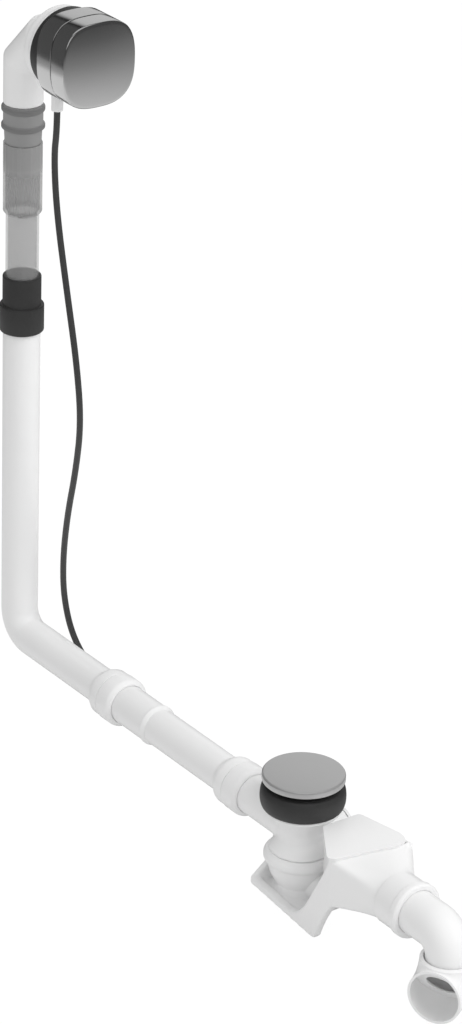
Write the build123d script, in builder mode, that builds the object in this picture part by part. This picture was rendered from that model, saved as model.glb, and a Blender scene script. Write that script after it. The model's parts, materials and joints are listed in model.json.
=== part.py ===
"""Bath waste and overflow with a cable-driven plug, in millimetres.

The origin is on the waste axis, on the face of the waste seal that the bath's floor sits on.
+Z points up and +X points from the overflow standpipe to the waste and on to the drain outlet.
The plug is shown down, on its seat.
"""
import math
import os

from build123d import *

os.makedirs("parts", exist_ok=True)

# Where the main axes lie
stand_x = -413.0            # vertical standpipe
run_z = -41.0               # horizontal run under the bath
over_z = 517.5              # overflow head and its knob
gasket_x = -342.0           # bath side of the overflow gasket
outlet_z = -43.0            # trap outlet
drop_x = 192.0              # vertical axis of the drain bends

# Clearances between pieces
slide_gap = 0.05            # radial, telescopic tube in its rubber coupling
turn_gap = 0.05             # radial, shafts in their bearings
free_gap = 0.4              # between pieces that pass each other

# Pipes
pipe_od = 32.0
pipe_wall = 1.5
pipe_bend = 22.0            # centre line radius of the foot bend
sleeve_od = 34.4
tube_od = 28.2
tube_wall = 1.8
socket_od = 33.0

# Heights on the standpipe, the upper ones counted down from the overflow's axis
leg_long = 67.0             # down to the elbow's end
bead_high = 4.0             # from the elbow's end to the upper bead
bead_low = 19.5
skirt_long = 34.5           # visible length of the grey seal
socket_long = 61.0
tube_end = 170.0
couple_top = 296.0
couple_step = 270.0
couple_end = 246.0
pipe_top = 264.0

# Overflow head
leg_od = 33.5
leg_wall = 2.4
bead_out = 2.2
bead_half = 2.7
elbow_cut = 29.0            # length of the mitre's slanted piece, along each leg
cup_r = 33.0
cup_deep = 22.0
cup_back_r = 24.0
flange_r = 34.2
flange_thick = 3.0
gasket_r = 35.0
gasket_thick = 10.0
gasket_bore_r = 27.0
rosette_deep = 19.5
rosette_web = 3.0
seam = 0.8                  # open line between rosette and knob
knob_face_x = -303.0
knob_wide = 70.0
knob_tall = 72.0
knob_corner = 26.0
knob_wall = 3.0
knob_edge = 3.5             # rounding of the face's edge
seam_edge = 0.8             # rounding of the edges at the seam
spindle_r = 4.0
nub_x = -363.0
nub_long = 58.5             # from the overflow's axis down to the end of the cable's outlet
nub_r = 5.0

# Control cable
cable_d = 5.5
gland_x = -30.0
gland_r = 4.6
gland_z = -36.0
drive_y = 27.0
cable_in = 6.0              # length of cable held in each end
cable_gap = 0.1

# Couplings of the horizontal run
flare_1 = -283.0            # start of the flare on the overflow pipe
flare_2 = -102.0            # start of the flare on the connecting pipe
flare_long = 10.0
collar_long = 9.0
thread_od = 36.8
collar_step = 2.8           # collar over the thread, radial
thread_long = 12.0
nut_wall = 3.3              # nut over the thread, radial
nut_long = 17.5
nut_cone = 8.0
nut_lip = 3.0
nut_seam = 0.6              # open line between a collar and its nut
ring_thick = 3.0
sleeve_end = -199.0
pipe_in = 30.0              # how far behind the flare's start the connecting pipe begins
sleeve_in = 8.0             # how far behind the flare's start a sleeve ends

# Waste body
hole_r = 25.0
cup_bore_r = 22.0
seal_deep = 19.0
seal_top_r = 33.0
seal_wide_r = 35.3
seat_r = 32.0
seat_thick = 3.0
neck_r = 19.4
neck_bore_r = 12.5
spigot_r = 16.5
shoulder_z = -59.0
neck_top = 24.0             # heights over the shoulder
neck_mid = 19.0
cone_top = 12.0
collar_r = 31.0
skirt_r = 26.0              # foot of the cone above the trap's nut
collar_deep = 11.0
collar_lip = 3.0

# Plug and its seat
cap_r = 34.0
cap_top = 11.0
cap_rim = 6.0
cap_skin = 2.2
flange_z = 2.4
flange_rim_r = 28.0
flange_rim = 1.5
stem_r = 3.0
lever_x = 7.2
lever_z = -44.0
lever_swing = 30.0
finger_r = 2.0
crank_long = 8.0
crank_r = 2.2
house_r = 13.5
house_bore_r = 11.2

# Trap
bowl_r = 20.0
bowl_bore_r = 16.9
base_z = -104.5
base_left = -26.0
base_right = 60.0
arch_mid = (68, -85)
arch_top = -66.0
front_y = -31.0
rim_thick = 8.0
arm_top = -89.0
split_y = -6.0
tray_y = 22.0
back_y = 41.0
end_top = -74.0
link_r = 14.0
link_y = 6.0
link_z = -85.0
wall = 2.6
lid_inset = 0.6
lid_thick = 2.4
ridge_x = 79.0              # near end of the ridge
ridge_far = 93.0            # far end of the ridge
ridge_z = -22.0
notch = [(76, ridge_z), (66, -44), (54, -66), (44, -83), (33, -93), (20, -95)]
chamber = [(38, split_y), (76, front_y), (ridge_x, front_y), (ridge_far, back_y), (38, 28)]
outlet_wall = 2.6
throat_x = 122.0
throat_r = 5.0
lobe_r = 11.0               # rounding at the far end of the ridge
throat_turns = [-160, -65, -25, 25, 65, 160, 172, 188, 200]
outlet_end = 144.0

# Drain bends
drain_nut_r = 23.8
drain_nut_x = 124.0
drain_nut_long = 27.0
drain_nut_rim = 7.5
drain_in = 21.0             # length of the bend inside the trap's outlet
drain_r = 18.6
drain_wall = 2.2
bend_1 = 19.1
spigot_long = 6.0
swivel_long = 3.0
mouth_r = 23.6
mouth_bore_r = 21.0
bend_2 = 23.8
mouth_long = 2.0
mouth_turn = -64.0          # heading of the mouth, from +X towards -Y

# Planes and axes that the turned pieces share: local x and y are X or radius and Z or radius
over_plane = Plane((0, 0, over_z), x_dir=(1, 0, 0), z_dir=(0, -1, 0))
over_axis = Axis((0, 0, over_z), (1, 0, 0))
stand_plane = Plane((stand_x, 0, 0), x_dir=(1, 0, 0), z_dir=(0, -1, 0))
stand_axis = Axis((stand_x, 0, 0), (0, 0, 1))
run_plane = Plane((0, 0, run_z), x_dir=(1, 0, 0), z_dir=(0, -1, 0))
run_axis = Axis((0, 0, run_z), (1, 0, 0))
waste_plane = Plane((0, 0, 0), x_dir=(1, 0, 0), z_dir=(0, -1, 0))
waste_axis = Axis((0, 0, 0), (0, 0, 1))
out_plane = Plane((0, 0, outlet_z), x_dir=(1, 0, 0), z_dir=(0, -1, 0))
out_axis = Axis((0, 0, outlet_z), (1, 0, 0))

leg_end = over_z - leg_long
socket_top = leg_end - skirt_long
socket_end = socket_top - socket_long
nub_end = over_z - nub_long

pipe_r = pipe_od / 2
tube_r = tube_od / 2
leg_r = leg_od / 2
sleeve_r = sleeve_od / 2
socket_r = socket_od / 2
leg_spigot_r = tube_r - tube_wall - 0.3
pipe_bore_r = pipe_r - pipe_wall
collar_out = thread_od / 2 + collar_step
nut_out = thread_od / 2 + nut_wall
collar_top = shoulder_z
collar_foot = collar_top - collar_deep
bowl_top = collar_top - collar_lip - ring_thick
outlet_r = drain_r + outlet_wall


# Overflow head

flange_x = gasket_x - gasket_thick
cup_back = flange_x - cup_deep
cup_front = flange_x - cup_deep / 2
leg_stop = socket_top - 24.0

with BuildPart() as overflow_elbow:
    with BuildLine() as elbow_line:
        Polyline((stand_x, 0, leg_end), (stand_x, 0, over_z - elbow_cut), (stand_x + elbow_cut, 0, over_z),
                 (cup_back + 2, 0, over_z))
    with BuildSketch(Plane((stand_x, 0, leg_end))):
        Circle(leg_r)
    sweep(path=elbow_line.line, transition=Transition.RIGHT)
    # the cup behind the gasket and its flange
    with BuildSketch(over_plane):
        with BuildLine():
            Polyline((cup_back, 0), (cup_back, cup_back_r), (cup_front, cup_r), (flange_x - flange_thick, cup_r),
                     (flange_x - flange_thick, flange_r), (flange_x, flange_r), (flange_x, 0), close=True)
        make_face()
    revolve(axis=over_axis)
    # the spigot that holds the grey seal
    with BuildSketch(Plane((stand_x, 0, leg_end))):
        Circle(leg_spigot_r)
    extrude(amount=leg_stop - leg_end)
    # the cable's outlet
    with BuildSketch(Plane((nub_x, 0, nub_end))):
        Circle(nub_r)
    extrude(amount=over_z - cup_back_r - nub_end)
    # inside of the elbow, the cup and the spigot
    with BuildLine() as bore_line:
        Polyline((stand_x, 0, leg_end + 3), (stand_x, 0, over_z - elbow_cut), (stand_x + elbow_cut, 0, over_z),
                 (cup_back + 2, 0, over_z))
    with BuildSketch(Plane((stand_x, 0, leg_end + 3))):
        Circle(leg_r - leg_wall)
    sweep(path=bore_line.line, transition=Transition.RIGHT, mode=Mode.SUBTRACT)
    with BuildSketch(over_plane):
        with BuildLine():
            Polyline((cup_back + 2.5, 0), (cup_back + 2.5, cup_back_r - 2), (cup_front, cup_r - 2.5),
                     (flange_x, cup_r - 2.5), (flange_x, 0), close=True)
        make_face()
    revolve(axis=over_axis, mode=Mode.SUBTRACT)
    with BuildSketch(Plane((stand_x, 0, leg_stop))):
        Circle(leg_spigot_r - 1.8)
    extrude(amount=leg_end + 3 - leg_stop, mode=Mode.SUBTRACT)
    with BuildSketch(Plane((nub_x, 0, nub_end))):
        Circle(cable_d / 2 + cable_gap)
    extrude(amount=over_z - cup_back_r - nub_end, mode=Mode.SUBTRACT)

with BuildPart() as overflow_gasket:
    with BuildSketch(over_plane):
        with BuildLine():
            Polyline((flange_x, gasket_bore_r), (flange_x, gasket_r - 1), (flange_x + 1, gasket_r),
                     (gasket_x - 1, gasket_r), (gasket_x, gasket_r - 1), (gasket_x, gasket_bore_r), close=True)
        make_face()
    revolve(axis=over_axis)

# A three-armed carrier holds the spindle and the rosette on the axis
carrier_x = flange_x - 7
with BuildPart() as spindle_carrier:
    with BuildSketch(over_plane):
        with BuildLine():
            Polyline((carrier_x, 22), (carrier_x, cup_r - 2.5), (flange_x - 1, cup_r - 2.5), (flange_x - 1, gasket_bore_r),
                     (gasket_x + 4, gasket_bore_r), (gasket_x + 4, 24.5), (carrier_x + 3, 24.5), (carrier_x + 3, 22),
                     close=True)
        make_face()
    revolve(axis=over_axis)
    with BuildSketch(Plane((carrier_x, 0, over_z), x_dir=(0, 1, 0), z_dir=(1, 0, 0))):
        Circle(8)
        with PolarLocations(12, 3, start_angle=90):
            Rectangle(24, 5)
        Circle(spindle_r + turn_gap, mode=Mode.SUBTRACT)
    extrude(amount=10)

rosette_x = gasket_x + rosette_deep
knob_hollow_r = min(knob_wide, knob_tall) / 2 - knob_wall - 1
with BuildPart() as overflow_rosette:
    with BuildSketch(Plane((gasket_x, 0, over_z), x_dir=(0, 1, 0), z_dir=(1, 0, 0))):
        RectangleRounded(knob_wide, knob_tall, knob_corner)
        Circle(gasket_bore_r, mode=Mode.SUBTRACT)
    extrude(amount=rosette_deep)
    fillet(overflow_rosette.faces().sort_by(Axis.X)[-1].outer_wire().edges(), seam_edge)
    with BuildSketch(Plane((gasket_x + rosette_web, 0, over_z), x_dir=(0, 1, 0), z_dir=(1, 0, 0))):
        Circle(knob_hollow_r)
    extrude(amount=rosette_deep, mode=Mode.SUBTRACT)
    # the water inlet underneath
    with BuildSketch(Plane((gasket_x + rosette_deep / 2, 0, over_z - 40))):
        SlotOverall(30, 10, rotation=90)
    extrude(amount=20, mode=Mode.SUBTRACT)

knob_x = rosette_x + seam
with BuildPart() as turn_knob:
    with BuildSketch(Plane((knob_x, 0, over_z), x_dir=(0, 1, 0), z_dir=(1, 0, 0))):
        RectangleRounded(knob_wide, knob_tall, knob_corner)
    extrude(amount=knob_face_x - knob_x)
    fillet(turn_knob.faces().sort_by(Axis.X)[-1].edges(), knob_edge)
    fillet(turn_knob.faces().sort_by(Axis.X)[0].edges(), seam_edge)
    with BuildSketch(over_plane):
        with BuildLine():
            Polyline((knob_x, 7), (knob_x, knob_hollow_r), (knob_face_x - 8, knob_hollow_r),
                     (knob_face_x - 5, knob_hollow_r - 3), (knob_face_x - 5, 7), close=True)
        make_face()
    revolve(axis=over_axis, mode=Mode.SUBTRACT)
    with BuildSketch(Plane((knob_x, 0, over_z), x_dir=(0, 1, 0), z_dir=(1, 0, 0))):
        Circle(spindle_r)
    extrude(amount=knob_face_x - 8 - knob_x, mode=Mode.SUBTRACT)

drum_x = nub_x
with BuildPart() as knob_spindle:
    with BuildSketch(Plane((drum_x - 4, 0, over_z), x_dir=(0, 1, 0), z_dir=(1, 0, 0))):
        Circle(spindle_r)
    extrude(amount=knob_face_x - 8 - drum_x + 4)

with BuildPart() as cable_drum:
    with BuildSketch(over_plane):
        with BuildLine():
            Polyline((drum_x - 4, spindle_r), (drum_x - 4, 14), (drum_x - 2.5, 14), (drum_x - 1, 12), (drum_x - 0.6, 12),
                     (drum_x - 0.6, spindle_r), close=True)
        make_face()
    revolve(axis=over_axis)

# Standpipe

with BuildPart() as elbow_seal:
    with BuildSketch(stand_plane):
        with BuildLine():
            Polyline((leg_spigot_r, leg_end), (leg_r, leg_end), (leg_r, socket_top + seam),
                     (socket_r - 2, socket_top + seam), (socket_r - 2, leg_stop + 2), (leg_spigot_r, leg_stop + 2),
                     close=True)
        make_face()
        with Locations((leg_r - 0.6, leg_end - bead_high), (leg_r - 0.6, leg_end - bead_low)):
            Ellipse(bead_out, bead_half)
    revolve(axis=stand_axis)

with BuildPart() as telescopic_tube:
    with BuildSketch(stand_plane):
        with BuildLine():
            Polyline((tube_r, tube_end), (tube_r, socket_end - 3), (socket_r, socket_end), (socket_r, socket_top),
                     (socket_r - 2, socket_top), (socket_r - 2, socket_end + 2), (tube_r - tube_wall, socket_end - 2),
                     (tube_r - tube_wall, tube_end), close=True)
        make_face()
    revolve(axis=stand_axis)

couple_r = pipe_r + 3
with BuildPart() as pipe_coupling:
    with BuildSketch(stand_plane):
        with BuildLine():
            Polyline((tube_r + slide_gap, couple_top), (socket_r - 1, couple_top), (socket_r, couple_top - 1),
                     (socket_r, couple_step), (couple_r - 1, couple_step), (couple_r, couple_step - 1),
                     (couple_r, couple_end + 1), (couple_r - 1, couple_end), (pipe_r, couple_end), (pipe_r, pipe_top),
                     (tube_r + slide_gap, pipe_top), close=True)
        make_face()
    revolve(axis=stand_axis)

# Horizontal run: the overflow pipe with its foot bend ends in a coupling, and so does the connecting pipe


def coupling_profile(start, bore_r):
    """Flare, collar and thread of a pipe end, as radius over X."""
    wide = start + flare_long
    thread = wide + collar_long
    end = thread + thread_long
    return [(start, bore_r), (start, pipe_r), (start + 3, pipe_r + 0.8), (wide - 3, collar_out - 1),
            (wide, collar_out), (thread - 0.6, collar_out), (thread, collar_out - 0.6), (thread, thread_od / 2),
            (end, thread_od / 2), (end, sleeve_r), (start + sleeve_in - 2, sleeve_r), (start + sleeve_in - 2, bore_r)]


def nut_profile(start):
    """Union nut over the thread, with its lip behind the seal ring."""
    first = start + flare_long + collar_long + nut_seam
    last = first + nut_long
    return [(first, thread_od / 2), (first, nut_out - 0.8), (first + 0.8, nut_out), (last - nut_cone, nut_out),
            (last, sleeve_r + 1), (last, sleeve_r + 0.2), (last - nut_lip, sleeve_r + 0.2), (last - nut_lip, thread_od / 2)]


def ring_profile(start):
    """Wedge ring between the thread's end and the nut's lip."""
    first = start + flare_long + collar_long + thread_long
    last = start + flare_long + collar_long + nut_seam + nut_long - nut_lip
    return [(first, sleeve_r), (first, thread_od / 2 - 0.6), (last, thread_od / 2), (last, sleeve_r)]


with BuildPart() as overflow_pipe:
    with BuildLine() as pipe_line:
        FilletPolyline((stand_x, 0, pipe_top), (stand_x, 0, run_z), (flare_1, 0, run_z), radius=pipe_bend)
    with BuildSketch(Plane((stand_x, 0, pipe_top))):
        Circle(pipe_r)
        Circle(pipe_bore_r, mode=Mode.SUBTRACT)
    sweep(path=pipe_line.line)
    with BuildSketch(run_plane):
        with BuildLine():
            Polyline(coupling_profile(flare_1, pipe_bore_r), close=True)
        make_face()
    revolve(axis=run_axis)

with BuildPart() as pipe_nut:
    with BuildSketch(run_plane):
        with BuildLine():
            Polyline(nut_profile(flare_1), close=True)
        make_face()
    revolve(axis=run_axis)

with BuildPart() as pipe_ring:
    with BuildSketch(run_plane):
        with BuildLine():
            Polyline(ring_profile(flare_1), close=True)
        make_face()
    revolve(axis=run_axis)

with BuildPart() as slide_sleeve:
    with BuildSketch(run_plane):
        with BuildLine():
            Polyline((flare_1 + sleeve_in, pipe_r), (flare_1 + sleeve_in, sleeve_r), (sleeve_end - 6, sleeve_r),
                     (sleeve_end - 5, sleeve_r + 0.9), (sleeve_end - 3.5, sleeve_r + 0.9), (sleeve_end, pipe_r + 0.3),
                     (sleeve_end, pipe_r), close=True)
        make_face()
    revolve(axis=run_axis)

with BuildPart() as connecting_pipe:
    with BuildSketch(run_plane):
        with BuildLine():
            Polyline((flare_1 + pipe_in, pipe_bore_r), (flare_1 + pipe_in, pipe_r), (flare_2, pipe_r),
                     (flare_2, pipe_bore_r), close=True)
        make_face()
        with BuildLine():
            Polyline(coupling_profile(flare_2, pipe_bore_r), close=True)
        make_face()
    revolve(axis=run_axis)

with BuildPart() as inlet_nut:
    with BuildSketch(run_plane):
        with BuildLine():
            Polyline(nut_profile(flare_2), close=True)
        make_face()
    revolve(axis=run_axis)

with BuildPart() as inlet_ring:
    with BuildSketch(run_plane):
        with BuildLine():
            Polyline(ring_profile(flare_2), close=True)
        make_face()
    revolve(axis=run_axis)

# Waste

inlet_in = flare_2 + sleeve_in
with BuildPart() as waste_body:
    with BuildSketch(waste_plane):
        with BuildLine():
            Polyline((0, -0.5), (hole_r, -0.5), (hole_r, -seal_deep), (seat_r, -seal_deep), (seat_r, -seal_deep - seat_thick),
                     (27, -seal_deep - seat_thick - 2), (neck_r + 1.5, shoulder_z + neck_top),
                     (neck_r, shoulder_z + neck_mid), (neck_r, shoulder_z + cone_top),
                     (skirt_r, shoulder_z + 1.5), (skirt_r, shoulder_z), (spigot_r, shoulder_z), (spigot_r, collar_foot - 6),
                     (0, collar_foot - 6), close=True)
        make_face()
    revolve(axis=waste_axis)
    # the overflow inlet
    with BuildSketch(Plane((inlet_in, 0, run_z), x_dir=(0, 1, 0), z_dir=(1, 0, 0))):
        Circle(sleeve_r)
    extrude(amount=-inlet_in)
    # the bearing boss and the housing of the plug drive, at the back
    with BuildSketch(Plane((lever_x, 0, lever_z), x_dir=(1, 0, 0), z_dir=(0, 1, 0))):
        Circle(7)
    extrude(amount=drive_y - 8)
    with BuildSketch(Plane((lever_x, drive_y - 12.2, lever_z), x_dir=(1, 0, 0), z_dir=(0, 1, 0))):
        Circle(house_r)
    extrude(amount=20.2)
    with BuildSketch(Plane((gland_x, drive_y, gland_z), x_dir=(0, 1, 0), z_dir=(1, 0, 0))):
        Circle(gland_r)
    extrude(amount=lever_x - gland_x)
    # hollow inside
    with BuildSketch(waste_plane):
        with BuildLine():
            Polyline((0, 0), (cup_bore_r, 0), (cup_bore_r, -20), (neck_bore_r, -32), (neck_bore_r, collar_foot - 6),
                     (0, collar_foot - 6), close=True)
        make_face()
    revolve(axis=waste_axis, mode=Mode.SUBTRACT)
    with BuildSketch(Plane((inlet_in, 0, run_z), x_dir=(0, 1, 0), z_dir=(1, 0, 0))):
        Circle(sleeve_r - 3)
    extrude(amount=-inlet_in - neck_bore_r / 2, mode=Mode.SUBTRACT)
    with BuildSketch(Plane((lever_x, 0, lever_z), x_dir=(1, 0, 0), z_dir=(0, 1, 0))):
        Circle(stem_r + turn_gap)
    extrude(amount=drive_y, mode=Mode.SUBTRACT)
    with BuildSketch(Plane((lever_x, drive_y - 7.5, lever_z), x_dir=(1, 0, 0), z_dir=(0, 1, 0))):
        Circle(house_bore_r)
    extrude(amount=20, mode=Mode.SUBTRACT)
    with BuildSketch(Plane((gland_x, drive_y, gland_z), x_dir=(0, 1, 0), z_dir=(1, 0, 0))):
        Circle(cable_d / 2 + cable_gap)
    extrude(amount=lever_x - gland_x, mode=Mode.SUBTRACT)

with BuildPart() as drive_cover:
    with BuildSketch(Plane((lever_x, drive_y + 8, lever_z), x_dir=(1, 0, 0), z_dir=(0, 1, 0))):
        Circle(house_r)
    extrude(amount=2.5)
    with BuildSketch(Plane((lever_x, drive_y + 8, lever_z), x_dir=(1, 0, 0), z_dir=(0, 1, 0))):
        Circle(house_bore_r)
        Circle(house_bore_r - 1.4, mode=Mode.SUBTRACT)
    extrude(amount=-2)

with BuildPart() as waste_seal:
    with BuildSketch(waste_plane):
        with BuildLine():
            Polyline((seal_top_r, 0), (hole_r, 0), (hole_r, -seal_deep), (seal_top_r, -seal_deep))
            ThreePointArc((seal_top_r, -seal_deep), (seal_wide_r, -seal_deep * 0.55), (seal_top_r, 0))
        make_face()
    revolve(axis=waste_axis)

with BuildPart() as seat_flange:
    with BuildSketch(waste_plane):
        with BuildLine():
            Polyline((cup_bore_r, -18), (cup_bore_r, flange_z), (flange_rim_r - 0.5, flange_z), (flange_rim_r, flange_z + 0.5),
                     (flange_rim_r, flange_z + flange_rim - 0.4), (flange_rim_r - 0.6, flange_z + flange_rim),
                     (cup_bore_r - 2, flange_z + flange_rim - 0.6), (cup_bore_r - 2, -18), close=True)
        make_face()
    revolve(axis=waste_axis)
    with BuildSketch(Plane((0, 0, -18))):
        Circle(6)
        with PolarLocations(13, 3, start_angle=30):
            Rectangle(16, 3)
        Circle(stem_r + turn_gap, mode=Mode.SUBTRACT)
    extrude(amount=7)

# Plug

with BuildPart() as plug_cap:
    with BuildSketch(waste_plane):
        with BuildLine():
            Polyline((0, cap_top), (cap_r - 1.4, cap_top - 0.3), (cap_r, cap_top - 1.6), (cap_r - 1.1, cap_top - cap_rim),
                     (cap_r - 2.6, cap_top - cap_rim), (cap_r - 2.2, cap_top - cap_skin), (0, cap_top - cap_skin), close=True)
        make_face()
    revolve(axis=waste_axis)

core_z = flange_z + flange_rim + free_gap
with BuildPart() as plug_core:
    with BuildSketch(waste_plane):
        with BuildLine():
            Polyline((stem_r, cap_top - cap_skin), (22, cap_top - cap_skin), (22, core_z + 2.6), (18.5, core_z + 2.6),
                     (18.5, core_z - 1.2), (8, core_z - 1.2), (6.5, core_z - 5), (stem_r, core_z - 5), close=True)
        make_face()
    revolve(axis=waste_axis)

with BuildPart() as plug_seal:
    with BuildSketch(waste_plane):
        with BuildLine():
            Polyline((18.5, core_z), (18.5, core_z + 2.6), (26, core_z + 2.6), (27.5, core_z + 1.2), (27.5, core_z), close=True)
        make_face()
    revolve(axis=waste_axis)

rest_tan = math.tan(math.radians(lever_swing))
rest_cos = math.cos(math.radians(lever_swing))
tip_z = lever_z - lever_x * rest_tan + (stem_r + finger_r) / rest_cos + free_gap
with BuildPart() as plug_stem:
    with BuildSketch(waste_plane):
        with BuildLine():
            Polyline((0, tip_z - stem_r), (0, cap_top - cap_skin), (stem_r, cap_top - cap_skin), (stem_r, tip_z))
            ThreePointArc((stem_r, tip_z), (stem_r * math.sqrt(0.5), tip_z - stem_r * math.sqrt(0.5)), (0, tip_z - stem_r))
        make_face()
    revolve(axis=waste_axis)

with BuildPart() as stem_nut:
    with BuildSketch(Plane((0, 0, core_z - 8))):
        RegularPolygon(5.5, 6)
        Circle(stem_r, mode=Mode.SUBTRACT)
    extrude(amount=3)

# Plug drive: a shaft with a finger under the stem, and a crank for the cable's wire

with BuildPart() as lift_shaft:
    with BuildSketch(Plane((lever_x, -4, lever_z), x_dir=(1, 0, 0), z_dir=(0, 1, 0))):
        Circle(stem_r)
    extrude(amount=drive_y + 8)

finger_dir = (-rest_cos, 0, -math.sin(math.radians(lever_swing)))
with BuildPart() as lift_finger:
    with BuildSketch(Plane((lever_x, 0, lever_z), x_dir=(0, 1, 0), z_dir=finger_dir)):
        Circle(finger_r)
    extrude(amount=13)
    with BuildSketch(Plane((lever_x, -3.5, lever_z), x_dir=(1, 0, 0), z_dir=(0, 1, 0))):
        Circle(4)
    extrude(amount=7)
    with BuildSketch(Plane((lever_x, -3.5, lever_z), x_dir=(1, 0, 0), z_dir=(0, 1, 0))):
        Circle(stem_r)
    extrude(amount=7, mode=Mode.SUBTRACT)

with BuildPart() as lift_crank:
    with BuildSketch(Plane((lever_x, drive_y - 2, lever_z), x_dir=(1, 0, 0), z_dir=(0, 1, 0))):
        Circle(5.5)
        with Locations((0, -crank_long / 2)):
            Rectangle(2 * crank_r, crank_long)
        with Locations((0, -crank_long)):
            Circle(crank_r)
        Circle(stem_r, mode=Mode.SUBTRACT)
    extrude(amount=4)

# Trap

with BuildPart() as trap_nut:
    with BuildSketch(waste_plane):
        with BuildLine():
            Line((spigot_r + 0.2, collar_top), (collar_r - 4, collar_top))
            ThreePointArc((collar_r - 4, collar_top), (collar_r, (collar_top + collar_foot) / 2), (collar_r - 4, collar_foot))
            Polyline((collar_r - 4, collar_foot), (bowl_r, collar_foot), (bowl_r, collar_top - collar_lip),
                     (spigot_r + 0.2, collar_top - collar_lip), (spigot_r + 0.2, collar_top))
        make_face()
    revolve(axis=waste_axis)

with BuildPart() as trap_ring:
    with BuildSketch(waste_plane):
        with BuildLine():
            Polyline((spigot_r, collar_top - collar_lip), (bowl_r, collar_top - collar_lip), (bowl_r, bowl_top),
                     (spigot_r, bowl_top), close=True)
        make_face()
    revolve(axis=waste_axis)

# The foot's outline in XZ: it falls towards the weir, and an arch leads from it up to the outlet
foot_left = (base_left, base_z + 9)
foot_right = (base_right, base_z)
front_plane = Plane((0, front_y, 0), x_dir=(1, 0, 0), z_dir=(0, -1, 0))
rim_plane = Plane((0, front_y + rim_thick, 0), x_dir=(1, 0, 0), z_dir=(0, -1, 0))

# The throat's square end stands on the ridge: local x runs along the ridge and local y up from the outlet's axis
ridge_long = math.hypot(ridge_far - ridge_x, back_y - front_y)
ridge_dir = ((ridge_far - ridge_x) / ridge_long, (back_y - front_y) / ridge_long, 0)
throat_plane = Plane((ridge_x, front_y, outlet_z), x_dir=ridge_dir, z_dir=(ridge_dir[1], -ridge_dir[0], 0))
low = arch_top - outlet_z
high = ridge_z - outlet_z

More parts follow.
